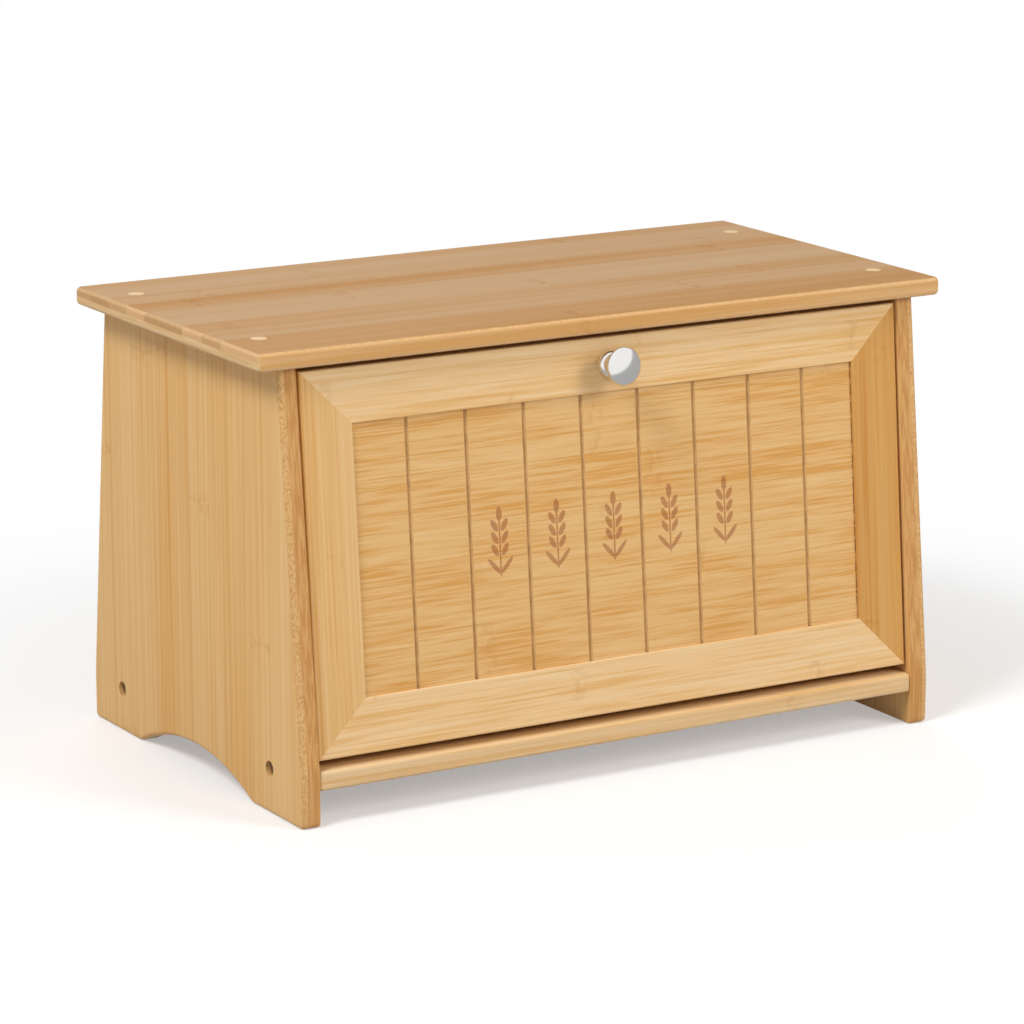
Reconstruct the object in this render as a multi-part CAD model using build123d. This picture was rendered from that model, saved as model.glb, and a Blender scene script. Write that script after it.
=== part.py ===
"""Bamboo bread box with a drop-down front door, built board by board.

X runs to the right, Y to the back and Z up. The origin lies on the table, under the
middle of the box. All lengths are in millimetres.
"""
import os
from math import asin, atan2, cos, degrees, hypot, sqrt, tan

from build123d import *

# ---- Driving dimensions -------------------------------------------------------------

# Top panel
top_length = 400.0
top_depth = 206.0
top_thickness = 9.5
top_corner_radius = 3.0
top_arris = 2.4

# Side panels, which carry the top and end in feet
side_height = 226.5
side_thickness = 10.5
side_inset = 13.0           # from the end of the top to the outer face of a side
side_depth_top = 193.0
side_depth_foot = 235.0
foot_height = 26.0          # below this the front and back edges are upright
foot_bend_radius = 120.0
foot_corner_radius = 3.0
arch_width = 127.0
arch_height = 14.4
arch_blend_radius = 7.0
side_outer_arris = 2.2
side_inner_arris = 1.0

# Bottom board
board_thickness = 10.0
board_height = 28.0         # its top face above the table
board_setback = 0.8         # its long edges behind the edges of the sides
board_arris = 1.8

# Back panel, held in grooves in the sides
back_thickness = 6.0
back_setback = 5.0          # from the back edges of the sides
back_groove_depth = 4.0
groove_clearance = 0.1

# Door
door_side_gap = 1.3
door_top_gap = 2.85         # from the front top edge of the door to the top panel
door_bottom_gap = 4.45      # from the front bottom edge of the door to the bottom board
door_top_setback = 0.1      # of the front top edge, behind the top ends of the sides
door_bottom_setback = 4.45  # of the front bottom edge, behind the feet of the sides
door_thickness = 12.0
frame_width = 28.0
frame_arris = 1.0
frame_inner_arris = 0.5
panel_thickness = 6.0
panel_recess = 1.6
panel_tongue = 2.9          # how far the panel reaches into the frame
panel_clearance = 0.1
vee_count = 8               # vee grooves that cut the panel into boards of one width
vee_width = 2.4
vee_depth = 1.3
dowel_diameter = 5.0
dowel_length = 22.0
dowel_end_clearance = 0.2

# Hinge pins, pressed into the door and turning in the sides
pin_diameter = 4.0
pin_in_door = 12.0
pin_in_side = 6.5
pin_height = 7.0            # above the bottom edge of the door
pin_running_clearance = 0.05
pin_end_clearance = 0.6
pin_chamfer = 0.4
press_clearance = 0.02      # radial, round everything that is pressed or glued in

# Knob
knob_base_diameter = 14.4
knob_base_thickness = 1.4
knob_base_chamfer = 0.4
knob_neck_diameter = 8.8
knob_head_diameter = 19.4
knob_rim_height = 14.6      # from the door to the widest part of the head
knob_length = 18.4
knob_screw_diameter = 4.0
knob_screw_depth = 8.0      # into the knob
knob_screw_head_diameter = 7.6
knob_screw_head_height = 2.2
knob_screw_rim = 0.4        # straight edge of its domed head
knob_screw_chamfer = 0.5
knob_hole_clearance = 0.2

# Stop batten behind the top rail, with the magnetic catch
batten_height = 13.0
batten_depth = 14.0
batten_end_gap = 0.5
door_stop_gap = 0.3
magnet_diameter = 6.0
magnet_thickness = 3.0
magnet_spacing = 180.0
magnet_drop = 5.0           # below the top edge of the door
strike_thickness = 2.0

# Wood screws
screw_diameter = 3.5
screw_point = 4.0
screw_head_diameter = 7.0
screw_head_height = 2.3
screw_rim = 0.5             # straight edge of the flat head
screw_tip_radius = 0.3
screw_hole_clearance = 0.15
screw_hole_end_clearance = 0.5
cross_length = 3.6
cross_width = 0.9
cross_depth = 1.1
counterbore_diameter = 8.2
side_counterbore_depth = 4.0
side_screw_length = 26.0
side_screw_spacing = 167.0
top_counterbore_depth = 5.2
top_screw_length = 26.0
top_screw_spacing = 136.0
plug_thickness = 2.8
batten_screw_length = 17.0
batten_screw_spacing = 240.0

# ---- Sizes that follow --------------------------------------------------------------

overall_height = side_height + top_thickness
side_outer_x = top_length / 2 - side_inset
side_inner_x = side_outer_x - side_thickness
side_middle_x = side_outer_x - side_thickness / 2
board_bottom = board_height - board_thickness
board_middle = board_height - board_thickness / 2
edge_run = (side_depth_foot - side_depth_top) / 2
edge_lean = atan2(edge_run, side_height - foot_height)

door_width = 2 * (side_inner_x - door_side_gap)
door_rise = side_height - door_top_gap - board_height - door_bottom_gap
door_run = edge_run + door_top_setback - door_bottom_setback
door_height = hypot(door_rise, door_run)
tilt = atan2(door_run, door_rise)
door_place = Location(
    (0, -side_depth_foot / 2 + door_bottom_setback, board_height + door_bottom_gap),
    (-degrees(tilt), 0, 0),
)
pin_radius = pin_diameter / 2
pivot = (door_place * Pos(0, door_thickness / 2, pin_height)).position
knob_height = door_height - frame_width / 2


def edges_on(solid, axis, place, skip=None):
    """Edges of the flat face of a solid that lies square to a main axis at one place."""
    on_face = lambda f: abs(f.center().dot(axis.direction) - place) < 0.01
    faces = solid.faces().filter_by(axis).filter_by(on_face)
    edges = ShapeList(edge for face in faces for edge in face.edges())
    return edges if skip is None else edges.filter_by(lambda e: not skip(e))


def along_x(section, start, length):
    """Solid that runs along X from a place, with a section drawn in Y and Z."""
    return extrude(Plane.YZ.offset(start) * section, length, dir=(1, 0, 0))


def at_height(edge, height):
    """Whether a whole edge lies at one height."""
    box = edge.bounding_box()
    return abs(box.min.Z - height) < 0.01 and abs(box.max.Z - height) < 0.01


# ---- Fasteners ----------------------------------------------------------------------

def wood_screw(length):
    """Wood screw pointing down, with its flat head's top at the origin."""
    shank = screw_diameter / 2
    head = screw_head_diameter / 2
    body = turned([Polyline(
        (0, 0), (head, 0), (head, -screw_rim), (shank, -screw_head_height),
        (shank, -length + screw_point), (screw_tip_radius, -length), (0, -length), (0, 0),
    )])
    for turn in (0, 90):
        body -= Rot(0, 0, turn) * Pos(0, 0, -cross_depth / 2) * Box(cross_length, cross_width, cross_depth)
    return body


def screw_hole(length):
    """Room for the shank of a screw whose head's top is at the origin."""
    radius = screw_diameter / 2 + screw_hole_clearance
    return Cylinder(
        radius, length + screw_hole_end_clearance, align=(Align.CENTER, Align.CENTER, Align.MAX))


def head_room(depth):
    """Counterbore from the surface at the origin down to a screw head's seat."""
    bore = Cylinder(counterbore_diameter / 2, depth, align=(Align.CENTER, Align.CENTER, Align.MAX))
    under = screw_head_height - screw_rim
    sink = Pos(0, 0, -depth) * Cone(
        screw_head_diameter / 2 + screw_hole_clearance, screw_diameter / 2 + screw_hole_clearance,
        under, align=(Align.CENTER, Align.CENTER, Align.MIN), rotation=(180, 0, 0),
    )
    return bore + sink


def top_screw_places():
    """Surface points of the four screws that come down through the top panel."""
    return [
        Pos(x, y, overall_height)
        for x in (-side_middle_x, side_middle_x)
        for y in (-top_screw_spacing / 2, top_screw_spacing / 2)
    ]


def side_screw_places(hand):
    """Surface points of the two screws through one side, pointing into the bottom board."""
    return [
        Pos(hand * side_outer_x, y, board_middle) * Rot(0, hand * 90, 0)
        for y in (-side_screw_spacing / 2, side_screw_spacing / 2)
    ]


def batten_screw_places():
    """Surface points of the two screws that go up through the stop batten."""
    middle = batten_front(side_height) + batten_depth / 2
    return [
        Pos(x, middle, side_height - batten_height) * Rot(180, 0, 0)
        for x in (-batten_screw_spacing / 2, batten_screw_spacing / 2)
    ]


# ---- Case ---------------------------------------------------------------------------

def batten_front(height):
    """Y of the batten's front face at a height; the face is parallel to the closed door."""
    back_edge = (door_place * Pos(0, door_thickness + door_stop_gap, 0)).position
    return back_edge.Y + (height - back_edge.Z) * tan(tilt)


def side_outline():
    """Outline of a side panel: a tapered board with upright feet and an arch between them."""
    half_top = side_depth_top / 2
    half_foot = side_depth_foot / 2
    board = Polygon(
        (-half_top, side_height), (-half_foot, foot_height), (-half_foot, 0),
        (half_foot, 0), (half_foot, foot_height), (half_top, side_height), align=None,
    )
    arch_radius = (arch_width ** 2 / 4 + arch_height ** 2) / (2 * arch_height)
    board -= Pos(0, arch_height - arch_radius) * Circle(arch_radius)
    bends = board.vertices().filter_by(lambda v: abs(v.Y - foot_height) < 0.01)
    board = fillet(bends, foot_bend_radius)
    corners = board.vertices().filter_by(lambda v: abs(v.Y) < 0.01 and abs(v.X) > half_foot - 1)
    board = fillet(corners, foot_corner_radius)
    arch_ends = board.vertices().filter_by(
        lambda v: abs(v.Y) < 0.01 and abs(abs(v.X) - arch_width / 2) < 1)
    return fillet(arch_ends, arch_blend_radius)


def back_line(offset, height):
    """Y at a height of a line parallel to the back edges of the sides, offset inwards."""
    return side_depth_foot / 2 - (height - foot_height) * tan(edge_lean) - offset / cos(edge_lean)


def back_section(clearance, low, high):
    """Section of the back panel between two heights, grown by a clearance."""
    near = back_setback - clearance
    far = back_setback + back_thickness + clearance
    return Polygon(
        (back_line(near, low), low), (back_line(near, high), high),
        (back_line(far, high), high), (back_line(far, low), low), align=None,
    )


def side_panel():
    """Left side panel, with its holes and the groove for the back panel."""
    side = along_x(side_outline(), -side_outer_x, side_thickness)
    under_top = lambda e: at_height(e, side_height)
    side = fillet(edges_on(side, Axis.X, -side_outer_x, under_top), side_outer_arris)
    side = fillet(edges_on(side, Axis.X, -side_inner_x, under_top), side_inner_arris)
    groove = back_section(groove_clearance, board_height - groove_clearance, side_height + 1)
    side -= along_x(groove, -side_inner_x - back_groove_depth, back_groove_depth + 1)
    for place in side_screw_places(-1):
        side -= place * head_room(side_counterbore_depth)
        side -= place * screw_hole(side_thickness + 5)
    for place in top_screw_places()[:2]:
        side -= place * Pos(0, 0, screw_head_height - top_counterbore_depth) * screw_hole(top_screw_length)
    hole_depth = pin_in_side + pin_end_clearance
    hole = Cylinder(pin_radius + pin_running_clearance, hole_depth, rotation=(0, 90, 0))
    side -= Pos(-side_inner_x - hole_depth / 2, pivot.Y, pivot.Z) * hole
    return side


def top_panel():
    """Top panel with four counterbored screw holes."""
    panel = Pos(0, 0, side_height) * Box(
        top_length, top_depth, top_thickness, align=(Align.CENTER, Align.CENTER, Align.MIN))
    panel = fillet(panel.edges().filter_by(Axis.Z), top_corner_radius)
    faces = panel.faces().filter_by(Axis.Z)
    panel = fillet(ShapeList(e for f in faces for e in f.edges()), top_arris)
    for place in top_screw_places():
        panel -= place * head_room(top_counterbore_depth)
        panel -= place * screw_hole(top_thickness + 5)
    for place in batten_screw_places():
        panel -= place * screw_hole(batten_screw_length)
    return panel


def bottom_board():
    """Bottom board between the sides, with rounded long edges and ends."""
    depth = side_depth_foot - 2 * board_setback
    board = Pos(0, 0, board_middle) * Box(2 * side_inner_x, depth, board_thickness)
    board = fillet(board.edges(), board_arris)
    seat = Pos(0, 0, -side_counterbore_depth + screw_head_height)
    for hand in (-1, 1):
        for place in side_screw_places(hand):
            board -= place * seat * screw_hole(side_screw_length)
    return board


def back_panel():
    """Back panel standing on the bottom board, with its ends in the grooves of the sides."""
    length = 2 * (side_inner_x + back_groove_depth - 2 * groove_clearance)
    return along_x(back_section(0, board_height, side_height), -length / 2, length)


def stop_batten():
    """Batten under the top panel, which stops the door and holds the magnets."""
    length = 2 * (side_inner_x - batten_end_gap)
    low = side_height - batten_height
    back = batten_front(side_height) + batten_depth
    section = Polygon(
        (batten_front(low), low), (batten_front(side_height), side_height),
        (back, side_height), (back, low), align=None,
    )
    batten = along_x(section, -length / 2, length)
    for place in magnet_places():
        batten -= place * Cylinder(
            magnet_diameter / 2 + press_clearance, magnet_thickness,
            rotation=(90, 0, 0), align=(Align.CENTER, Align.CENTER, Align.MAX))
    for place in batten_screw_places():
        batten -= place * head_room(screw_head_height)
        batten -= place * screw_hole(batten_screw_length)
    return batten


def magnet_places():
    """Points on the batten's front face where the magnets are pressed in."""
    face = door_thickness + door_stop_gap
    return [
        door_place * Pos(x, face, door_height - magnet_drop)
        for x in (-magnet_spacing / 2, magnet_spacing / 2)
    ]


# ---- Door, drawn upright with its front face at Y = 0 and its bottom edge at Z = 0 ----

def door_frame_blank():
    """The whole mitred frame as one ring, before it is cut into its four members."""
    window_width = door_width - 2 * frame_width
    window_height = door_height - 2 * frame_width
    standing = (Align.CENTER, Align.MIN, Align.MIN)
    ring = Box(door_width, door_thickness, door_height, align=standing)
    outer_arrises = ring.edges().filter_by(lambda e: e.length > door_thickness + 1)
    ring = fillet(outer_arrises, frame_arris)
    ring -= Pos(0, 0, frame_width) * Box(window_width, door_thickness, window_height, align=standing)
    inner = [
        e for e in edges_on(ring, Axis.Y, 0)
        if abs(e.center().X) < window_width / 2 + 0.1
        and frame_width - 0.1 < e.center().Z < frame_width + window_height + 0.1
    ]
    ring = fillet(inner, frame_inner_arris)
    groove = Pos(0, panel_recess - panel_clearance, frame_width - panel_tongue - panel_clearance) * Box(
        window_width + 2 * (panel_tongue + panel_clearance),
        panel_thickness + 2 * panel_clearance,
        window_height + 2 * (panel_tongue + panel_clearance), align=standing)
    return ring - groove


def member_prism(corners):
    """Prism over a polygon in the plane of the door, as deep as the frame and more."""
    sketch = Plane.XZ.offset(1) * Polygon(*corners, align=None)
    return extrude(sketch, door_thickness + 2, dir=(0, 1, 0))


def frame_members():
    """The four mitred members of the frame by name."""
    half = door_width / 2
    inside = half - frame_width
    low, high = frame_width, door_height - frame_width
    outlines = {
        "door_bottom_rail": [(-half, 0), (half, 0), (inside, low), (-inside, low)],
        "door_top_rail": [(-half, door_height), (-inside, high), (inside, high), (half, door_height)],
        "door_left_stile": [(-half, 0), (-inside, low), (-inside, high), (-half, door_height)],
        "door_right_stile": [(half, 0), (half, door_height), (inside, high), (inside, low)],
    }
    ring = door_frame_blank()
    ring -= knob_place() * knob_screw_hole()
    for place in strike_places():
        ring -= place * disc(magnet_diameter + 2 * press_clearance, strike_thickness)
    for place in pin_places():
        ring -= place * Cylinder(pin_radius + press_clearance, pin_length(), rotation=(0, 90, 0))
    for place in dowel_places():
        ring -= place * Cylinder(
            dowel_diameter / 2 + press_clearance, dowel_length + 2 * dowel_end_clearance)
    return {name: ring & member_prism(corners) for name, corners in outlines.items()}


def door_panel():
    """Grooved panel with its four edges in the frame."""
    width = door_width - 2 * frame_width + 2 * panel_tongue
    height = door_height - 2 * frame_width + 2 * panel_tongue
    board_pitch = width / (vee_count + 1)
    panel = Pos(0, panel_recess, frame_width - panel_tongue) * Box(
        width, panel_thickness, height, align=(Align.CENTER, Align.MIN, Align.MIN))
    section = Polygon((-vee_width / 2, 0), (vee_width / 2, 0), (0, vee_depth), align=None)
    vee = extrude(section, door_height, dir=(0, 0, 1))
    for index in range(vee_count):
        x = (index - (vee_count - 1) / 2) * board_pitch
        panel -= Pos(x, panel_recess, 0) * vee
    return panel


def disc(diameter, thickness):
    """Disc set into the back face of the door, from the origin towards the front."""
    return Cylinder(
        diameter / 2, thickness, rotation=(90, 0, 0), align=(Align.CENTER, Align.CENTER, Align.MIN))


def strike_places():
    """Points on the door's back face that meet the magnets."""
    return [
        Pos(x, door_thickness, door_height - magnet_drop)
        for x in (-magnet_spacing / 2, magnet_spacing / 2)
    ]


def pin_length():
    """Length of a hinge pin: its seat in the door, the gap, and its seat in the side."""
    return pin_in_door + door_side_gap + pin_in_side


def pin_places():
    """Middles of the two hinge pins."""
    middle = door_width / 2 - pin_in_door + pin_length() / 2
    return [Pos(x, door_thickness / 2, pin_height) for x in (-middle, middle)]


def hinge_pin():
    """Steel hinge pin along X with chamfered ends."""
    pin = Cylinder(pin_radius, pin_length(), rotation=(0, 90, 0))
    return chamfer(pin.edges().filter_by(GeomType.CIRCLE), pin_chamfer)


def dowel_places():
    """Middles and directions of the dowels that cross the four mitres."""
    x = door_width / 2 - frame_width / 2
    low, high = frame_width / 2, door_height - frame_width / 2
    corners = [(-x, low, -45), (x, low, 45), (-x, high, 45), (x, high, -45)]
    return [Pos(cx, door_thickness / 2, cz) * Rot(0, turn, 0) for cx, cz, turn in corners]


def knob_place():
    """Point on the front of the top rail where the knob stands."""
    return Pos(0, 0, knob_height) * Rot(90, 0, 0)


def knob_screw_hole():
    """Clearance hole for the knob screw through the top rail."""
    radius = knob_screw_diameter / 2 + knob_hole_clearance
    return Cylinder(radius, door_thickness, align=(Align.CENTER, Align.CENTER, Align.MAX))


def dome(edge, apex_height):
    """Arc from a point at the edge of a round face to its apex on the axis."""
    radius, height = edge
    rise = apex_height - height
    ball = (radius ** 2 + rise ** 2) / (2 * abs(rise))
    drop = ball - sqrt(ball ** 2 - radius ** 2 / 4)
    middle = (radius / 2, apex_height - (drop if rise > 0 else -drop))
    return ThreePointArc(edge, middle, (0, apex_height))


def knob():
    """Turned mushroom knob, standing up along Z from its base."""
    base = knob_base_diameter / 2
    neck = knob_neck_diameter / 2
    head = knob_head_diameter / 2
    neck_start = (neck, knob_rim_height * 0.52)
    base_flare = (neck + 0.75, neck_start[1] * 0.62)
    head_flare = (neck + 1.5, knob_rim_height * 0.80)
    shoulder = (head - 0.5, knob_rim_height - 1.1)
    rim = (head, knob_rim_height)
    rim_round = (head - 0.25, knob_rim_height + 0.95)
    face_edge = (head - 1.1, knob_rim_height + 1.6)
    outline = [
        Polyline(
            (0, knob_length), (0, 0), (base - knob_base_chamfer, 0), (base, knob_base_chamfer),
            (base, knob_base_thickness)),
        ThreePointArc((base, knob_base_thickness), base_flare, neck_start),
        ThreePointArc(neck_start, head_flare, shoulder),
        Line(shoulder, rim),
        ThreePointArc(rim, rim_round, face_edge),
        dome(face_edge, knob_length),
    ]
    body = turned(outline)
    bore = Cylinder(
        knob_screw_diameter / 2 + press_clearance, knob_screw_depth + 1,
        align=(Align.CENTER, Align.CENTER, Align.MIN))
    return body - bore


def turned(outline):
    """Solid of revolution about Z from lines that close an outline of radius and height."""
    edges = [edge for line in outline for edge in line.edges()]
    return revolve(Plane.XZ * make_face(edges), Axis.Z)


def knob_screw():
    """Machine screw with a domed head, its head's seat at the origin, pointing up along Z."""
    head = knob_screw_head_diameter / 2
    shank = knob_screw_diameter / 2
    length = door_thickness + knob_screw_depth
    body = turned([
        dome((head, -knob_screw_rim), -knob_screw_head_height),
        Polyline(
            (head, -knob_screw_rim), (head, 0), (shank, 0),
            (shank, length - knob_screw_chamfer), (shank - knob_screw_chamfer, length),
            (0, length), (0, -knob_screw_head_height)),
    ])
    for turn in (0, 90):
        body -= Rot(0, 0, turn) * Pos(0, 0, -knob_screw_head_height) * Box(
            cross_length, cross_width, 2 * cross_depth)
    return body


# ---- Build --------------------------------------------------------------------------

def build_case():
    """Nodes of the fixed case by name."""
    left = side_panel()
    top_seat = Pos(0, 0, screw_head_height - screw_rim - top_counterbore_depth)
    side_seat = Pos(0, 0, screw_head_height - screw_rim - side_counterbore_depth)
    return {
        "top_panel": top_panel(),
        "left_side": left,
        "right_side": mirror(left, about=Plane.YZ),
        "bottom_board": bottom_board(),
        "back_panel": back_panel(),
        "door_stop_batten": stop_batten(),
        "top_screws": [place * top_seat * wood_screw(top_screw_length) for place in top_screw_places()],
        "top_plugs": [
            place * Cylinder(
                counterbore_diameter / 2 - press_clearance, plug_thickness,
                align=(Align.CENTER, Align.CENTER, Align.MAX))
            for place in top_screw_places()
        ],
        "side_screws": [
            place * side_seat * wood_screw(side_screw_length)
            for hand in (-1, 1) for place in side_screw_places(hand)
        ],
        "batten_screws": [place * wood_screw(batten_screw_length) for place in batten_screw_places()],
        "catch_magnets": [
            place * Cylinder(
                magnet_diameter / 2, magnet_thickness, rotation=(90, 0, 0),
                align=(Align.CENTER, Align.CENTER, Align.MAX))
            for place in magnet_places()
        ],
    }


def build_door():
    """Nodes of the door by name, at their closed place in the box."""
    nodes = frame_members()
    nodes["door_panel"] = door_panel()
    left_pin, right_pin = pin_places()
    nodes["left_hinge_pin"] = left_pin * hinge_pin()
    nodes["right_hinge_pin"] = right_pin * hinge_pin()
    nodes["mitre_dowels"] = [
        place * Cylinder(dowel_diameter / 2, dowel_length) for place in dowel_places()]
    nodes["strike_discs"] = [place * disc(magnet_diameter, strike_thickness) for place in strike_places()]
    nodes["knob"] = knob_place() * knob()
    nodes["knob_screw"] = knob_place() * Pos(0, 0, -door_thickness) * knob_screw()
    return {
        name: [door_place * piece for piece in made] if isinstance(made, list) else door_place * made
        for name, made in nodes.items()
    }


def open_limit():
    """Angle in degrees at which the open door rests with its knob on the table."""
    reach = knob_height - pin_height
    drop = door_thickness / 2 + knob_length
    spread = degrees(atan2(drop, reach))
    return 90 + degrees(tilt) + degrees(asin(pivot.Z / hypot(reach, drop))) - spread


def main():
    """Write one STEP file for each node."""
    os.makedirs("parts", exist_ok=True)
    nodes = {**build_case(), **build_door()}
    for name, made in nodes.items():
        shape = Compound(children=made) if isinstance(made, list) else made
        export_step(shape, f"parts/{name}.step")
    print(f"{len(nodes)} nodes")
    print(f"hinge axis at y {pivot.Y:.3f}, z {pivot.Z:.3f}; door opens {open_limit():.2f} degrees")


main()
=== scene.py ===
"""Looks of a bamboo bread box with a drop-down, grooved front door.

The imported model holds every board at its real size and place. This script dresses the boards in
lacquered bamboo, turns a smooth knob, burns a wheat-ear ornament into the door panel, and sets up
the studio. Lengths are in metres: X to the right, Y to the back, Z up, the origin under the box.
"""
from __future__ import annotations

import logging
import math
from dataclasses import dataclass
from enum import Enum

import bmesh
import bpy
from mathutils import Matrix, Vector


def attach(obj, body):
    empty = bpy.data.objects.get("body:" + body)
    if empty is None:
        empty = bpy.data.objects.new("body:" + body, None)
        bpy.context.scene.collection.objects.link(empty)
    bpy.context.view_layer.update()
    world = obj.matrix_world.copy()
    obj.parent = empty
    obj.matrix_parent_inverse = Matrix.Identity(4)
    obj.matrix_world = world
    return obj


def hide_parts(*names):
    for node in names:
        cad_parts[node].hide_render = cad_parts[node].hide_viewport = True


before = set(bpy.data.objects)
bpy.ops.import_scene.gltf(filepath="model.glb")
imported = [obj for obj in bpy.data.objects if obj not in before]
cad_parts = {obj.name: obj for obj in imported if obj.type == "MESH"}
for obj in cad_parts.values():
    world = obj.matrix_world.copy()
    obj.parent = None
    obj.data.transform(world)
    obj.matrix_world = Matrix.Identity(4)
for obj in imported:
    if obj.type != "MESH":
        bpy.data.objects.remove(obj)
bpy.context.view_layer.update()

LOG = logging.getLogger("bread_box")
PHOTO_PIXELS = 1024.0
SENSOR_WIDTH = 36.0

Colour = tuple[float, float, float]


# ---- Shader maths -------------------------------------------------------------------

class Value:
    """A shader socket whose arithmetic adds nodes to its material."""

    def __init__(self, shader: "Shader", socket: bpy.types.NodeSocket) -> None:
        """Wrap one output socket of a shader's tree."""
        self.shader = shader
        self.socket = socket

    def __add__(self, other: "Value | float") -> "Value":
        """Return self + other."""
        return self.shader.math("ADD", self, other)

    def __radd__(self, other: float) -> "Value":
        """Return other + self."""
        return self.shader.math("ADD", other, self)

    def __sub__(self, other: "Value | float") -> "Value":
        """Return self - other."""
        return self.shader.math("SUBTRACT", self, other)

    def __rsub__(self, other: float) -> "Value":
        """Return other - self."""
        return self.shader.math("SUBTRACT", other, self)

    def __mul__(self, other: "Value | float") -> "Value":
        """Return self * other."""
        return self.shader.math("MULTIPLY", self, other)

    def __truediv__(self, other: "Value | float") -> "Value":
        """Return self / other."""
        return self.shader.math("DIVIDE", self, other)

    def __abs__(self) -> "Value":
        """Return the absolute value."""
        return self.shader.math("ABSOLUTE", self)

    def floor(self) -> "Value":
        """Return the next lower whole number."""
        return self.shader.math("FLOOR", self)

    def fraction(self) -> "Value":
        """Return what floor leaves."""
        return self.shader.math("FRACT", self)

    def most(self, other: "Value | float") -> "Value":
        """Return the larger of two values."""
        return self.shader.math("MAXIMUM", self, other)

    def ramp(self, start: float, end: float) -> "Value":
        """Change softly from 0 to 1.

        Args:
            start: Where the result leaves 0.
            end: Where the result reaches 1; it may be the smaller of the two.

        Returns:
            The softened value.
        """
        return self.shader.node(
            "ShaderNodeMapRange", {"interpolation_type": "SMOOTHSTEP"},
            {"Value": self, "From Min": start, "From Max": end}, "Result")


class Shader:
    """The node tree of a material or of the surroundings."""

    def __init__(self, owner: bpy.types.Material | bpy.types.World) -> None:
        """Start with an empty tree."""
        owner.use_nodes = True
        self.tree = owner.node_tree
        self.tree.nodes.clear()
        kind = "World" if isinstance(owner, bpy.types.World) else "Material"
        self.output = self.tree.nodes.new(f"ShaderNodeOutput{kind}")

    def node(self, kind: str, settings: dict | None = None, inputs: dict | None = None,
             output: str | int = 0) -> Value:
        """Add a node, set it, feed it, and return one of its outputs.

        Args:
            kind: The node's type name.
            settings: Properties set before the inputs; "stops" fills a colour ramp.
            inputs: Values or links by socket name or index.
            output: Name or index of the output that is returned.

        Returns:
            The output, wrapped for arithmetic.
        """
        made = self.tree.nodes.new(kind)
        for key, value in (settings or {}).items():
            if key == "stops":
                self._set_stops(made.color_ramp, value)
            else:
                setattr(made, key, value)
        for key, value in (inputs or {}).items():
            if isinstance(value, Value):
                self.tree.links.new(value.socket, made.inputs[key])
            else:
                made.inputs[key].default_value = value
        return Value(self, made.outputs[output])

    @staticmethod
    def _set_stops(ramp: bpy.types.ColorRamp, stops: list[tuple[float, Colour]]) -> None:
        """Give a colour ramp its stops."""
        while len(ramp.elements) < len(stops):
            ramp.elements.new(0.5)
        for element, (place, colour) in zip(ramp.elements, stops):
            element.position = place
            element.color = (*colour, 1.0)

    def math(self, operation: str, *values: Value | float) -> Value:
        """Add a Math node on up to three values."""
        return self.node("ShaderNodeMath", {"operation": operation}, dict(enumerate(values)))

    def vector(self, operation: str, first: Value, second: Value | Colour) -> Value:
        """Add a Vector Math node on two vectors."""
        return self.node("ShaderNodeVectorMath", {"operation": operation}, {0: first, 1: second})

    def parts(self, vector: Value) -> tuple[Value, Value, Value]:
        """Take a vector apart."""
        apart = self.node("ShaderNodeSeparateXYZ", inputs={0: vector}).socket.node
        return tuple(Value(self, output) for output in apart.outputs)

    def join(self, *values: Value | float) -> Value:
        """Make a vector of three values."""
        return self.node("ShaderNodeCombineXYZ", inputs=dict(enumerate(values)))

    def blend(self, factor: Value | float, first: Value | Colour, second: Value | Colour,
              mode: str = "MIX") -> Value:
        """Mix two colours.

        Args:
            factor: 0 gives the first colour and 1 the second.
            first: The colour under.
            second: The colour over.
            mode: How they are mixed.

        Returns:
            The mixed colour.
        """
        settings = {"data_type": "RGBA", "blend_type": mode}
        inputs = {0: factor, 6: self._colour(first), 7: self._colour(second)}
        return self.node("ShaderNodeMix", settings, inputs, 2)

    @staticmethod
    def _colour(value: Value | Colour) -> Value | tuple[float, ...]:
        """Give a plain colour its alpha."""
        return value if isinstance(value, Value) else (*value, 1.0)

    def place(self, turn: float = 0.0) -> Value:
        """Return the surface's point, turned about the X axis by an angle in radians."""
        point = self.node("ShaderNodeTexCoord", output="Object")
        return self.node("ShaderNodeMapping", {"vector_type": "POINT"},
                         {"Vector": point, "Rotation": (turn, 0.0, 0.0)})

    def facing(self) -> tuple[Value, Value, Value]:
        """Return how far the surface faces along each axis, without the sign."""
        normal = self.node("ShaderNodeTexCoord", output="Normal")
        return tuple(abs(part) for part in self.parts(normal))

    def noise(self, point: Value, scale: Colour, detail: float = 2.0, shift: float = 0.0,
              roughness: float = 0.5) -> Value:
        """Return noise of about 0.2 to 0.8.

        Args:
            point: Where it is read.
            scale: Its cycles per metre along each axis of the point.
            detail: How many finer layers it has.
            shift: Moves the pattern, so that two boards differ.
            roughness: How strong the finer layers are.

        Returns:
            The noise.
        """
        stretched = self.vector("MULTIPLY", point, scale)
        moved = self.vector("ADD", stretched, (shift, shift * 0.7, shift * 1.3))
        return self.node("ShaderNodeTexNoise", {"noise_dimensions": "3D"},
                         {"Vector": moved, "Scale": 1.0, "Detail": detail, "Roughness": roughness})

    def bump(self, height: Value, strength: float, distance: float) -> Value:
        """Return a normal that follows a height."""
        return self.node("ShaderNodeBump", inputs={
            "Strength": strength, "Distance": distance, "Height": height})

    def close(self, surface: Value) -> None:
        """Make a shader the tree's surface."""
        self.tree.links.new(surface.socket, self.output.inputs["Surface"])


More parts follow.
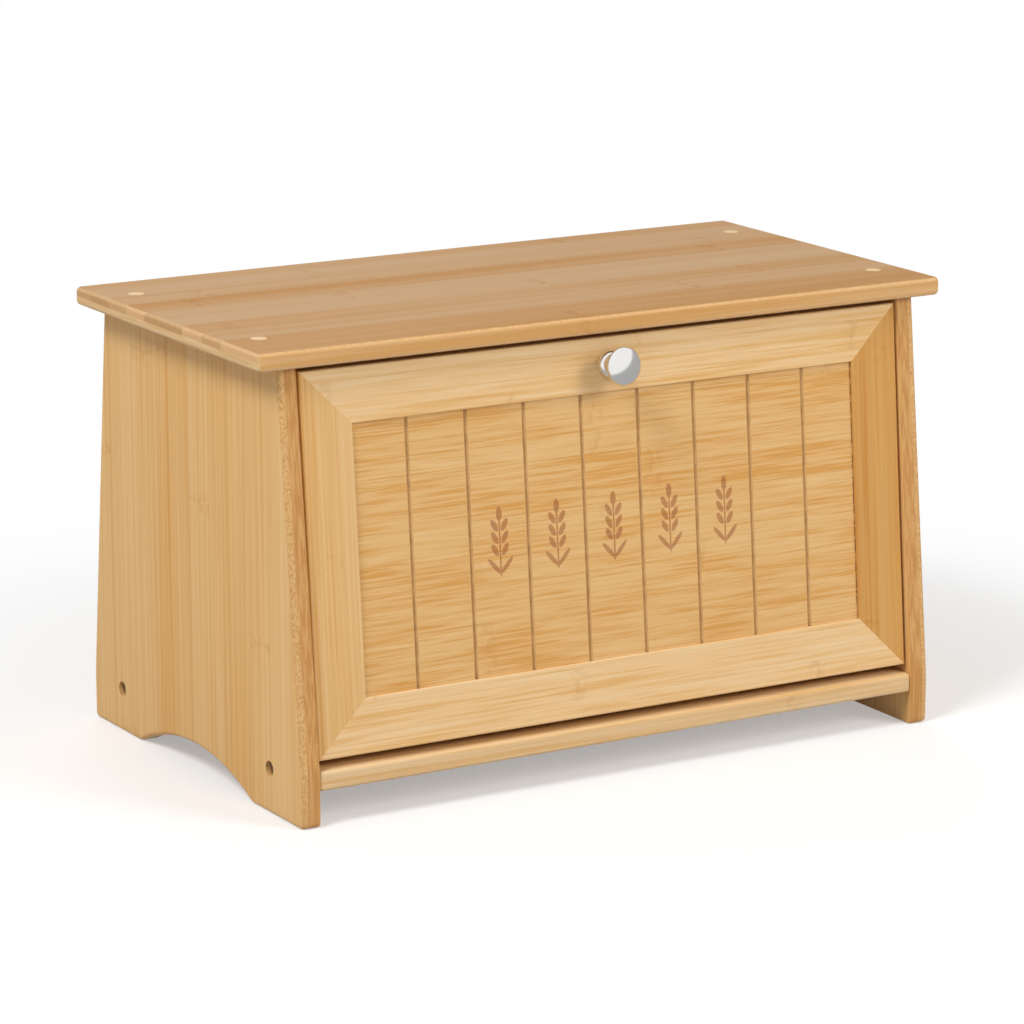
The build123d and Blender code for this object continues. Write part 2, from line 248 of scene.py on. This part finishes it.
def surfaced(material: bpy.types.Material, shader: Shader,
             sockets: dict[str, Value | float]) -> bpy.types.Material:
    """Close a material with a Principled surface.

    Args:
        material: The material.
        shader: Its node tree.
        sockets: Values or links by the surface's socket names.

    Returns:
        The finished material.
    """
    shader.close(shader.node("ShaderNodeBsdfPrincipled", inputs=sockets))
    return material


# ---- Finishes -----------------------------------------------------------------------

class Lay(Enum):
    """The axes of the box that a board's fibres, its slats and its thickness follow."""

    FLAT = (0, 1, 2)
    FACE = (0, 2, 1)
    STILE = (2, 0, 1)
    SIDE = (2, 1, 0)


@dataclass
class Board:
    """A point on a board, in the board's own directions."""

    point: Value
    fibre: Value
    across: Value
    depth: Value


def scaled(colour: Colour, factors: Colour) -> Colour:
    """Multiply a colour, part by part."""
    return tuple(part * factor for part, factor in zip(colour, factors))


@dataclass(frozen=True)
class Bamboo:
    """Lacquered bamboo, laminated from slats that lie side by side.

    The streaks run from cream to orange, so they change the blue and green of the colour far more
    than its red.
    """

    name: str
    lay: Lay
    base: Colour
    tilt: float = 0.0
    slat: float = 0.021
    slat_contrast: float = 0.16
    line_width: float = 0.0018
    line_length: float = 0.15
    line_contrast: float = 0.9
    broad_contrast: float = 0.35
    joint_pitch: float = 0.31
    joint_contrast: float = 0.20
    seed: float = 0.0
    roughness: float = 0.50
    coat: float = 0.06
    specular: float = 0.32

    line_weight: float = 1.5
    fine_weight: float = 0.8
    soft_weight: float = 1.8
    light: Colour = (1.035, 1.13, 1.30)
    dark: Colour = (0.90, 0.76, 0.50)
    joint_tint: Colour = (0.62, 0.42, 0.24)
    glue_tint: Colour = (0.55, 0.34, 0.16)
    glue_contrast: float = 0.16
    relief: float = 0.16
    relief_height: float = 0.0003
    coat_roughness: float = 0.30

    def board(self, shader: Shader) -> Board:
        """Return the point of the surface in the board's directions."""
        parts = shader.parts(shader.place(self.tilt))
        ordered = [parts[axis] for axis in self.lay.value]
        return Board(shader.join(*ordered), *ordered)

    def slats(self, shader: Shader, board: Board) -> tuple[Value, Value]:
        """Return a random number for each slat, and a mask of the glue lines."""
        place = board.across / self.slat + self.seed
        tone = shader.node("ShaderNodeTexWhiteNoise", {"noise_dimensions": "1D"}, {"W": place.floor()})
        return tone, abs(place.fraction() - 0.5).ramp(0.482, 0.5)

    def joints(self, shader: Shader, board: Board, tone: Value) -> Value:
        """Return a mask of the short marks that the stem's joints leave in each slat."""
        along = board.fibre / self.joint_pitch + tone * 7.3
        near = abs(along.fraction() - 0.5).ramp(0.024, 0.002)
        patchy = shader.noise(board.point, (260.0, 190.0, 190.0), 2.0, self.seed + 3.0)
        return near * patchy.ramp(0.44, 0.62)

    def level(self, shader: Shader, board: Board, tone: Value) -> tuple[Value, Value]:
        """Return the streaks' lightness, and the fine lines alone."""
        moved = shader.vector("ADD", board.point, shader.join(tone * 3.0, 0.0, 0.0))
        wide, length = 1.0 / self.line_width, 1.0 / self.line_length
        lines = shader.noise(moved, (length, wide, wide), 3.0, self.seed, 0.62)
        fine = shader.noise(moved, (length * 1.7, wide * 2.6, wide * 2.6), 1.0, self.seed + 5.0)
        soft = shader.noise(moved, (length * 0.8, wide * 0.17, wide * 0.17), 2.0, self.seed + 9.0)
        tints = shader.noise(moved, (length * 0.3, wide * 0.05, wide * 0.05), 1.0, self.seed + 13.0)
        level = (0.5 + (tone - 0.5) * self.slat_contrast
                 + (lines - 0.5) * self.line_contrast * self.line_weight
                 + (fine - 0.5) * self.line_contrast * self.fine_weight
                 + (soft - 0.5) * self.broad_contrast * self.soft_weight
                 + (tints - 0.5) * self.broad_contrast)
        return level, lines

    def colour(self, shader: Shader, level: Value) -> Value:
        """Turn the streaks' lightness into bamboo colours."""
        middle = self.base
        stops = [(0.16, scaled(middle, self.dark)), (0.50, middle), (0.84, scaled(middle, self.light))]
        return shader.node("ShaderNodeValToRGB", {"stops": stops}, {0: level})

    def detail(self, shader: Shader, board: Board, tone: Value, colour: Value,
               height: Value) -> tuple[Value, Value]:
        """Add what only this board has.

        Args:
            shader: The material that is being built.
            board: The point of the surface.
            tone: The random number of its slat.
            colour: The bamboo colour so far.
            height: The relief so far.

        Returns:
            The colour and the relief.
        """
        return colour, height

    def build(self) -> bpy.types.Material:
        """Make the material.

        Returns:
            The material.
        """
        material = bpy.data.materials.new(self.name)
        shader = Shader(material)
        board = self.board(shader)
        tone, glue = self.slats(shader, board)
        level, lines = self.level(shader, board, tone)
        colour = self.colour(shader, level)
        mark = self.joints(shader, board, tone)
        colour = shader.blend(mark * self.joint_contrast, colour, self.joint_tint, "MULTIPLY")
        colour = shader.blend(glue * self.glue_contrast, colour, self.glue_tint, "MULTIPLY")
        colour, height = self.detail(shader, board, tone, colour, lines)
        return surfaced(material, shader, {
            "Base Color": colour,
            "Roughness": self.roughness + (lines - 0.5) * 0.24 + mark * 0.08,
            "Normal": shader.bump(height, self.relief, self.relief_height),
            "Coat Weight": self.coat,
            "Coat Roughness": self.coat_roughness,
            "Specular IOR Level": self.specular,
        })


@dataclass(frozen=True)
class TopBamboo(Bamboo):
    """The top: two plies, whose ends show blocks of end grain over long grain."""

    ply_height: float = 0.23125
    front_tint: Colour = (1.36, 1.44, 1.52)
    block: Colour = (0.560, 0.320, 0.140)
    block_light: Colour = (1.32, 1.42, 1.6)
    block_dots: Colour = (0.8, 0.7, 0.6)
    ply: Colour = (0.760, 0.520, 0.280)
    ply_dark: Colour = (0.90, 0.82, 0.66)
    # Colour of the painted highlight on the rounded arris of the top.
    painted_highlight: Colour = (0.80, 0.56, 0.31)

    def detail(self, shader: Shader, board: Board, tone: Value, colour: Value,
               height: Value) -> tuple[Value, Value]:
        """Add the two plies at the ends, the lighter front edge and a painted highlight on the rounded
        arris.
        """
        toward_x, toward_y, toward_z = shader.facing()
        end = toward_x.ramp(0.45, 0.75)
        edge = toward_y.ramp(0.45, 0.75)
        upper = board.depth.ramp(self.ply_height - 0.0002, self.ply_height + 0.0002)
        dots = shader.noise(board.point, (700.0, 1500.0, 1500.0), 2.0, 17.0)
        block = shader.blend(tone.ramp(0.2, 0.8), scaled(self.block, self.block_light), self.block)
        block = shader.blend(dots.ramp(0.42, 0.62) * 0.35, block, scaled(self.block, self.block_dots))
        grain = shader.noise(board.point, (900.0, 24.0, 900.0), 3.0, 19.0)
        under = shader.blend(grain.ramp(0.38, 0.62), scaled(self.ply, self.ply_dark), self.ply)
        # The front edge takes the top's colour lifted back out of its painted shade.
        colour = shader.blend(edge, colour, shader.blend(1.0, colour, self.front_tint, "MULTIPLY"))
        colour = shader.blend(end, colour, shader.blend(upper, under, block))
        # Painted highlight: the rounded arris between the top and its edges is made lighter, speckled
        # by noise.
        painted_highlight = toward_z.ramp(0.20, 0.45) * toward_z.ramp(0.98, 0.80)
        pits = shader.noise(board.point, (500.0, 500.0, 500.0), 2.0, 29.0)
        colour = shader.blend(painted_highlight * (0.25 + pits.ramp(0.42, 0.64) * 0.22), colour, self.painted_highlight)
        return colour, height


@dataclass(frozen=True)
class SideBamboo(Bamboo):
    """A side: its front and back edges are sawn, pitted outside and brown inside."""

    pitted_from: float = 0.1834
    sawn: Colour = (0.520, 0.245, 0.070)
    sawn_light: Colour = (1.22, 1.42, 1.75)
    pitted: Colour = (0.680, 0.400, 0.160)
    pit: Colour = (0.430, 0.190, 0.050)
    fleck: Colour = (0.860, 0.620, 0.340)
    pit_depth: float = 1.5

    def detail(self, shader: Shader, board: Board, tone: Value, colour: Value,
               height: Value) -> tuple[Value, Value]:
        """Add the sawn edges."""
        toward_x, toward_y, _ = shader.facing()
        edge = toward_y.ramp(0.28, 0.62)
        outer = abs(board.depth).ramp(self.pitted_from - 0.0006, self.pitted_from + 0.0006)
        long = shader.noise(board.point, (20.0, 700.0, 700.0), 3.0, 37.0)
        pits = shader.noise(board.point, (620.0, 1300.0, 1300.0), 3.0, 31.0, 0.65)
        inner = shader.blend(long.ramp(0.36, 0.64), self.sawn, scaled(self.sawn, self.sawn_light))
        rough = shader.blend(pits.ramp(0.50, 0.62) * 0.65, self.pitted, self.pit)
        rough = shader.blend(pits.ramp(0.45, 0.34) * 0.60, rough, self.fleck)
        colour = shader.blend(edge, colour, shader.blend(outer * 0.85, inner, rough))
        return colour, height - edge * outer * pits.ramp(0.50, 0.60) * self.pit_depth


@dataclass(frozen=True)
class PanelBamboo(Bamboo):
    """The door panel: grooves cut across the fibres, and burnt wheat ears."""

    bottom: float = 0.0
    face: float = 0.0
    front_depth: float = 0.0018
    half_width: float = 0.1472
    pitch: float = 0.03336
    ears: float = 5.0
    ear_height: float = 0.0945
    row: float = 0.0062
    ear_rows: tuple[float, float] = (-1.0, 2.0)
    grain_aside: float = 0.0029
    grain_size: tuple[float, float] = (0.0034, 0.00145)
    grain_lean: float = 0.50
    tip_up: float = 0.0150
    tip_size: tuple[float, float] = (0.0036, 0.0016)
    stem_edge: tuple[float, float] = (0.00058, 0.00036)
    stem_foot: tuple[float, float] = (-0.0166, -0.0162)
    stem_top: tuple[float, float] = (0.0125, 0.0121)
    leaf_aside: float = 0.0036
    leaf_down: float = 0.0112
    leaf_size: tuple[float, float] = (0.0052, 0.00115)
    leaf_lean: float = 0.72
    groove: Colour = (0.640, 0.390, 0.165)
    groove_dark: Colour = (0.540, 0.318, 0.128)
    burn: Colour = (0.66, 0.48, 0.40)
    burn_grain: Colour = (0.62, 0.40, 0.24)
    burn_depth: float = 1.2
    # Colour of the painted shadow along the panel's right edge.
    edge_shadow_colour: Colour = (0.10, 0.05, 0.02)

    @staticmethod
    def ellipse(aside: Value, up: Value, size: tuple[float, float], lean: float) -> Value:
        """Return a mask of a leaning ellipse.

        Args:
            aside: Distance aside from its centre.
            up: Distance above its centre.
            size: Its half length and half width.
            lean: How far its length leans aside, in radians.

        Returns:
            1 inside and 0 outside.
        """
        long = (aside * math.sin(lean) + up * math.cos(lean)) / size[0]
        short = (aside * math.cos(lean) - up * math.sin(lean)) / size[1]
        return (long * long + short * short).ramp(1.12, 0.88)

    def wheat(self, board: Board) -> Value:
        """Return a mask of one upright ear in each of the middle boards of the panel."""
        slot = board.fibre / self.pitch + 0.5
        aside = abs(slot.fraction() - 0.5) * self.pitch
        up = board.across - (self.bottom + self.ear_height)
        rows = up / self.row
        cell = (rows.fraction() - 0.5) * self.row
        low, high = self.ear_rows
        inside = rows.ramp(low - 0.01, low + 0.01) * rows.ramp(high + 0.01, high - 0.01)
        grains = self.ellipse(aside - self.grain_aside, cell, self.grain_size, self.grain_lean) * inside
        tip = self.ellipse(aside, up - self.tip_up, self.tip_size, 0.0)
        stem = aside.ramp(*self.stem_edge) * up.ramp(*self.stem_foot) * up.ramp(*self.stem_top)
        leaf_place = (aside - self.leaf_aside, up + self.leaf_down)
        leaf = self.ellipse(*leaf_place, self.leaf_size, self.leaf_lean)
        middle = abs(board.fibre).ramp(self.pitch * self.ears / 2 + 0.0001, self.pitch * self.ears / 2)
        return grains.most(tip).most(stem).most(leaf) * middle

    def detail(self, shader: Shader, board: Board, tone: Value, colour: Value,
               height: Value) -> tuple[Value, Value]:
        """Add the ornament, the grooves and a painted shadow along the right edge."""
        grain = shader.noise(board.point, (60.0, 700.0, 700.0), 2.0, 43.0)
        front = board.depth.ramp(self.face + self.front_depth + 0.0004, self.face + self.front_depth)
        mark = self.wheat(board) * front
        burnt = shader.blend(1.0, colour, self.burn, "MULTIPLY")
        burnt = shader.blend(grain.ramp(0.40, 0.62) * 0.5, burnt, scaled(self.burn, self.burn_grain))
        colour = shader.blend(mark * 0.92, colour, burnt)
        cut = board.depth.ramp(self.face + 0.00003, self.face + 0.00018) * front
        dust = shader.noise(board.point, (500.0, 150.0, 500.0), 3.0, 41.0)
        bottom = shader.blend(dust.ramp(0.40, 0.62), self.groove, self.groove_dark)
        colour = shader.blend(cut * 0.9, colour, bottom)
        # Painted shadow: a dashed dark line along the panel's right edge stands for the shade in a thin
        # gap that the geometry does not have.
        edge_shadow = board.fibre.ramp(self.half_width - 0.0007, self.half_width - 0.0003) * front
        dashes = shader.noise(board.point, (40.0, 330.0, 40.0), 2.0, 47.0).ramp(0.46, 0.56)
        colour = shader.blend(edge_shadow * dashes * 0.7, colour, self.edge_shadow_colour)
        return colour, height - mark * self.burn_depth


@dataclass(frozen=True)
class Metal:
    """Metal with fine scratches and a slightly uneven gloss."""

    name: str
    base: Colour
    roughness: float
    scratch: float = 0.06
    cloudy: Colour = (0.86, 0.86, 0.86)

    def build(self) -> bpy.types.Material:
        """Make the material.

        Returns:
            The material.
        """
        material = bpy.data.materials.new(self.name)
        shader = Shader(material)
        point = shader.place()
        cloud = shader.noise(point, (220.0, 220.0, 220.0), 3.0)
        fine = shader.noise(point, (2600.0, 2600.0, 2600.0), 2.0, 4.0)
        return surfaced(material, shader, {
            "Base Color": shader.blend(cloud * 0.5, self.base, scaled(self.base, self.cloudy)),
            "Metallic": 1.0,
            "Roughness": self.roughness + (cloud - 0.5) * 0.08 + (fine - 0.5) * 0.06,
            "Normal": shader.bump(fine, self.scratch, 0.00005),
        })


@dataclass(frozen=True)
class EndGrain:
    """Cut end of a bamboo plug or dowel, with its dotted fibres."""

    name: str
    light: Colour
    dark: Colour

    def build(self) -> bpy.types.Material:
        """Make the material.

        Returns:
            The material.
        """
        material = bpy.data.materials.new(self.name)
        shader = Shader(material)
        point = shader.place()
        dots = shader.noise(point, (1500.0, 1500.0, 300.0), 2.0, 3.0)
        cloud = shader.noise(point, (260.0, 260.0, 260.0), 1.0, 7.0)
        colour = shader.blend(dots.ramp(0.40, 0.70) * 0.5 + cloud * 0.2, self.light, self.dark)
        return surfaced(material, shader, {
            "Base Color": colour, "Roughness": 0.52 + dots * 0.12,
            "Normal": shader.bump(dots, 0.3, 0.0001)})


# ---- Sub-assemblies -----------------------------------------------------------------

def dress(names: tuple[str, ...], material: bpy.types.Material) -> None:
    """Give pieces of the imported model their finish.

    Args:
        names: The pieces.
        material: Their finish.
    """
    for name in names:
        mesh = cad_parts[name].data
        mesh.materials.clear()
        mesh.materials.append(material)
        LOG.info("dressed %s in %s", name, material.name)


@dataclass
class Case:
    """The fixed boards of the box with their fasteners."""

    # The top is written darker than the other boards: painted shade for the weaker light that falls on
    # the top.
    top_base_with_painted_shade: Colour = (0.505, 0.300, 0.144)
    side_base: Colour = (0.775, 0.458, 0.172)
    board_base: Colour = (0.740, 0.500, 0.260)
    back_base: Colour = (0.640, 0.385, 0.165)

    def dress(self) -> None:
        """Dress every board and fastener of the case."""
        top = TopBamboo(
            "bamboo_top", Lay.FLAT, self.top_base_with_painted_shade, slat=0.021, slat_contrast=0.50, line_width=0.0022,
            line_length=0.24, line_contrast=0.46, broad_contrast=0.36, seed=3.0,
            roughness=0.54, coat=0.0, specular=0.20)
        side = SideBamboo(
            "bamboo_side", Lay.SIDE, self.side_base, slat=0.0215, slat_contrast=0.34,
            line_width=0.0020, line_length=0.34, broad_contrast=0.40, seed=11.0)
        board = Bamboo(
            "bamboo_board", Lay.FLAT, self.board_base, slat=0.024, line_width=0.0018,
            line_length=0.14, line_contrast=0.7, seed=23.0)
        back = Bamboo(
            "bamboo_back", Lay.FACE, self.back_base, slat=0.024, slat_contrast=0.35, line_width=0.0019,
            line_length=0.25, seed=31.0)
        dress(("top_panel",), top.build())
        dress(("left_side", "right_side"), side.build())
        dress(("bottom_board", "door_stop_batten"), board.build())
        dress(("back_panel",), back.build())
        dress(("top_plugs",), EndGrain("bamboo_plug", (0.82, 0.61, 0.35), (0.58, 0.36, 0.16)).build())
        dress(("top_screws", "side_screws", "batten_screws"),
              Metal("screw_steel", (0.34, 0.32, 0.30), 0.36).build())
        dress(("catch_magnets",), Metal("magnet_nickel", (0.66, 0.65, 0.63), 0.22).build())


@dataclass
class Door:
    """The framed door with its panel, knob and pins, leaning back on its hinge."""

    lean: float = math.radians(4.98)
    foot_y: float = -0.11305
    foot_z: float = 0.03245
    panel_recess: float = 0.0016
    rail_base: Colour = (0.785, 0.516, 0.248)
    left_stile_base: Colour = (0.715, 0.430, 0.170)
    right_stile_base: Colour = (0.600, 0.302, 0.080)
    panel_base: Colour = (0.712, 0.420, 0.160)

    def leaning(self, depth: float, up: float) -> tuple[float, float]:
        """Return how far back and how high a point of the door is.

        Args:
            depth: How far it is behind the door's face.
            up: How far it is above the door's bottom edge, along the face.

        Returns:
            Its Y and its Z.
        """
        sine, cosine = math.sin(self.lean), math.cos(self.lean)
        return (self.foot_y + depth * cosine + up * sine, self.foot_z - depth * sine + up * cosine)

    def turned_foot(self) -> tuple[float, float]:
        """Return the door's face and bottom edge in axes that lean with the door."""
        sine, cosine = math.sin(self.lean), math.cos(self.lean)
        return (self.foot_y * cosine - self.foot_z * sine, self.foot_y * sine + self.foot_z * cosine)

    def dress(self) -> None:
        """Dress every piece of the door."""
        face, bottom = self.turned_foot()
        rail = Bamboo(
            "bamboo_rail", Lay.FACE, self.rail_base, tilt=self.lean, slat=0.016, slat_contrast=0.12,
            line_width=0.0017, line_length=0.075, line_contrast=0.85, seed=41.0)
        stiles = {
            name: Bamboo(
                f"bamboo_{name}", Lay.STILE, base, tilt=self.lean, slat=slat, slat_contrast=0.34,
                line_width=0.0016, line_length=0.17, line_contrast=0.9, seed=seed)
            for name, base, slat, seed in (
                ("left_stile", self.left_stile_base, 0.0150, 53.4),
                ("right_stile", self.right_stile_base, 0.0095, 57.2))
        }
        panel = PanelBamboo(
            "bamboo_panel", Lay.FACE, self.panel_base, tilt=self.lean, slat=0.026, slat_contrast=0.16,
            line_width=0.0017, line_length=0.048, line_contrast=1.05, broad_contrast=0.46, seed=61.0,
            bottom=bottom, face=face + self.panel_recess)
        steel = Metal("pin_steel", (0.52, 0.51, 0.50), 0.30)
        dress(("door_top_rail", "door_bottom_rail"), rail.build())
        for name, stile in stiles.items():
            dress((f"door_{name}",), stile.build())
        dress(("door_panel",), panel.build())
        dowel = EndGrain("bamboo_dowel", (0.78, 0.58, 0.33), (0.55, 0.33, 0.14))
        dress(("mitre_dowels",), dowel.build())
        dress(("knob_screw", "left_hinge_pin", "right_hinge_pin", "strike_discs"), steel.build())


@dataclass
class Knob:
    """Turned mushroom knob of satin nickel."""

    up: float = 0.1779
    base: float = 0.0072
    chamfer: float = 0.0003
    base_edge: float = 0.0008
    bell: float = 0.0049
    bell_height: float = 0.0042
    bell_end: float = 78.0
    neck: float = 0.0044
    neck_height: float = 0.0076
    rim_centre: float = 0.0081
    rim_height: float = 0.0141
    rim: float = 0.0016
    rim_start: float = -65.0
    rim_end: float = 72.0
    length: float = 0.0180
    turns: int = 96
    sharp_from: float = math.radians(32)

    @staticmethod
    def arc(centre: tuple[float, float], size: tuple[float, float], start: float, end: float,
            steps: int = 9) -> list[tuple[float, float]]:
        """Return points on part of an ellipse.

        Args:
            centre: Its centre, as radius and height.
            size: Its half axes.
            start: The first angle in degrees.
            end: The last angle in degrees.
            steps: How many points there are.

        Returns:
            The points, as radius and height.
        """
        turns = [math.radians(start + (end - start) * step / (steps - 1)) for step in range(steps)]
        return [(centre[0] + size[0] * math.cos(turn), centre[1] + size[1] * math.sin(turn))
                for turn in turns]

    def outline(self) -> list[tuple[float, float]]:
        """Return the knob's outline from its back to its crown, as radius and height."""
        points = [(0.0, 0.0), (self.base - self.chamfer, 0.0), (self.base, self.chamfer)]
        bell = (self.base - self.bell, self.bell_height - self.base_edge)
        points += self.arc((self.bell, self.base_edge), bell, 0.0, self.bell_end)
        rim = self.arc((self.rim_centre, self.rim_height), (self.rim, self.rim),
                       self.rim_start, self.rim_end)
        rear = rim[0]
        flare = (rear[0] - self.neck, rear[1] - self.neck_height)
        points += self.arc((rear[0], self.neck_height), flare, 180.0, 90.0)[:-1]
        points += rim
        edge, crown = points[-1]
        rise = self.length - crown
        radius = (edge * edge + rise * rise) / (2 * rise)
        spread = math.degrees(math.asin(edge / radius))
        points += self.arc((0.0, self.length - radius), (radius, radius), 90.0 - spread, 90.0, 13)[1:]
        return points

    def build(self, door: Door) -> None:
        """Turn the knob and put it on the door's top rail.

        Args:
            door: The door that carries it.
        """
        work = bmesh.new()
        verts = [work.verts.new((radius, 0.0, height)) for radius, height in self.outline()]
        edges = [work.edges.new(pair) for pair in zip(verts, verts[1:])]
        bmesh.ops.spin(work, geom=verts + edges, cent=(0.0, 0.0, 0.0), axis=(0.0, 0.0, 1.0),
                       angle=math.tau, steps=self.turns, use_merge=True)
        bmesh.ops.remove_doubles(work, verts=work.verts, dist=1e-6)
        bmesh.ops.recalc_face_normals(work, faces=work.faces)
        depth, height = door.leaning(0.0, self.up)
        turn = Matrix.Rotation(math.pi / 2 - door.lean, 4, "X")
        place = Matrix.Translation((0.0, depth, height)) @ turn
        bmesh.ops.transform(work, matrix=place, verts=work.verts)
        mesh = bpy.data.meshes.new("turned_knob")
        work.to_mesh(mesh)
        work.free()
        mesh.polygons.foreach_set("use_smooth", [True] * len(mesh.polygons))
        mesh.set_sharp_from_angle(angle=self.sharp_from)
        mesh.materials.append(Metal("satin_nickel", (0.88, 0.87, 0.85), 0.17).build())
        knob = bpy.data.objects.new("turned_knob", mesh)
        bpy.context.scene.collection.objects.link(knob)
        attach(knob, "door")
        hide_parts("knob")
        LOG.info("turned %s with %d faces", knob.name, len(mesh.polygons))


# ---- Studio -------------------------------------------------------------------------

@dataclass
class Studio:
    """Camera, soft lamps and a white floor."""

    camera_place: Colour = (-1.1334, -1.92075, 0.64969)
    camera_yaw: float = math.radians(30.57)
    camera_pitch: float = math.radians(-13.53)
    focal_pixels: float = 4366.7
    floor_size: float = 14.0
    floor_grey: float = 0.62
    floor_lift: float = 0.36
    clear_from: float = 0.24
    clear_to: float = 0.62
    world_strength: float = 0.36
    dim_side: Colour = (0.369, 0.489, -0.790)
    dim_from: float = -0.24
    dim_to: float = -0.14
    dim_by: float = 0.54
    lamp_target: Colour = (0.0, 0.0, 0.12)

    @staticmethod
    def link(name: str, data: bpy.types.ID) -> bpy.types.Object:
        """Put data into the scene as an object."""
        thing = bpy.data.objects.new(name, data)
        bpy.context.scene.collection.objects.link(thing)
        return thing

    def camera(self) -> None:
        """Put the camera where the photograph was taken from."""
        data = bpy.data.cameras.new("camera")
        data.sensor_width = SENSOR_WIDTH
        data.lens = self.focal_pixels / PHOTO_PIXELS * SENSOR_WIDTH
        data.clip_start, data.clip_end = 0.05, 60.0
        camera = self.link("camera", data)
        camera.location = self.camera_place
        camera.rotation_euler = (math.pi / 2 + self.camera_pitch, 0.0, -self.camera_yaw)
        bpy.context.scene.camera = camera

    def lamp(self, name: str, place: Colour, size: float, power: float) -> None:
        """Add one square soft lamp that faces the box.

        Args:
            name: The lamp's name.
            place: Where it hangs.
            size: Its side.
            power: Its power in watts.
        """
        data = bpy.data.lights.new(name, "AREA")
        data.shape = "SQUARE"
        data.size = size
        data.energy = power
        lamp = self.link(name, data)
        lamp.location = place
        toward = Vector(self.lamp_target) - Vector(place)
        lamp.rotation_euler = toward.to_track_quat("-Z", "Y").to_euler()
        lamp.visible_glossy = False

    def floor(self) -> None:
        """Lay a pale floor that keeps the soft shadow of the box and is white further out."""
        work = bmesh.new()
        bmesh.ops.create_grid(work, x_segments=1, y_segments=1, size=self.floor_size / 2)
        mesh = bpy.data.meshes.new("floor")
        work.to_mesh(mesh)
        work.free()
        material = bpy.data.materials.new("floor_white")
        shader = Shader(material)
        across, along, _ = shader.parts(shader.place())
        away = shader.math("SQRT", across * across + along * along)
        seen = shader.node("ShaderNodeLightPath", output="Is Camera Ray")
        matt = shader.node("ShaderNodeBsdfDiffuse", inputs={"Color": (*[self.floor_grey] * 3, 1.0)})
        lift = shader.node("ShaderNodeEmission", inputs={"Strength": seen * self.floor_lift})
        near = shader.node("ShaderNodeAddShader", inputs={0: matt, 1: lift})
        white = shader.node("ShaderNodeEmission", inputs={"Strength": 1.0})
        share = seen * away.ramp(self.clear_from, self.clear_to)
        shader.close(shader.node("ShaderNodeMixShader", inputs={0: share, 1: near, 2: white}))
        mesh.materials.append(material)
        floor = self.link("floor", mesh)
        floor.visible_glossy = False

    def sky(self) -> None:
        """Surround the stage with soft light that the camera sees as white, and the metal half dim."""
        world = bpy.data.worlds.new("studio")
        bpy.context.scene.world = world
        shader = Shader(world)
        path = shader.node("ShaderNodeLightPath").socket.node
        camera = Value(shader, path.outputs["Is Camera Ray"])
        glossy = Value(shader, path.outputs["Is Glossy Ray"])
        toward = shader.node("ShaderNodeTexCoord", output="Generated")
        side = shader.node("ShaderNodeVectorMath", {"operation": "DOT_PRODUCT"},
                           {0: toward, 1: self.dim_side}, "Value")
        mirrored = 1.0 - side.ramp(self.dim_from, self.dim_to) * self.dim_by
        strength = camera + glossy * mirrored + (1.0 - camera) * (1.0 - glossy) * self.world_strength
        shader.close(shader.node("ShaderNodeBackground", inputs={
            "Color": (1.0, 1.0, 1.0, 1.0), "Strength": strength}))

    def build(self) -> None:
        """Set up the camera, the lamps, the floor and the surroundings."""
        bpy.context.scene.view_settings.view_transform = "Standard"
        self.camera()
        self.floor()
        self.sky()
        self.lamp("front_right", (1.3, -2.0, 1.35), 1.1, 33.0)
        self.lamp("high_left", (-1.6, -0.6, 2.1), 0.8, 41.0)
        self.lamp("back", (0.8, 2.2, 1.3), 1.2, 15.0)


def main() -> None:
    """Dress the case and the door, turn the knob, and set up the studio."""
    logging.basicConfig(level=logging.INFO, format="%(name)s: %(message)s")
    Studio().build()
    Case().dress()
    door = Door()
    door.dress()
    Knob().build(door)


if __name__ == "__main__":
    main()
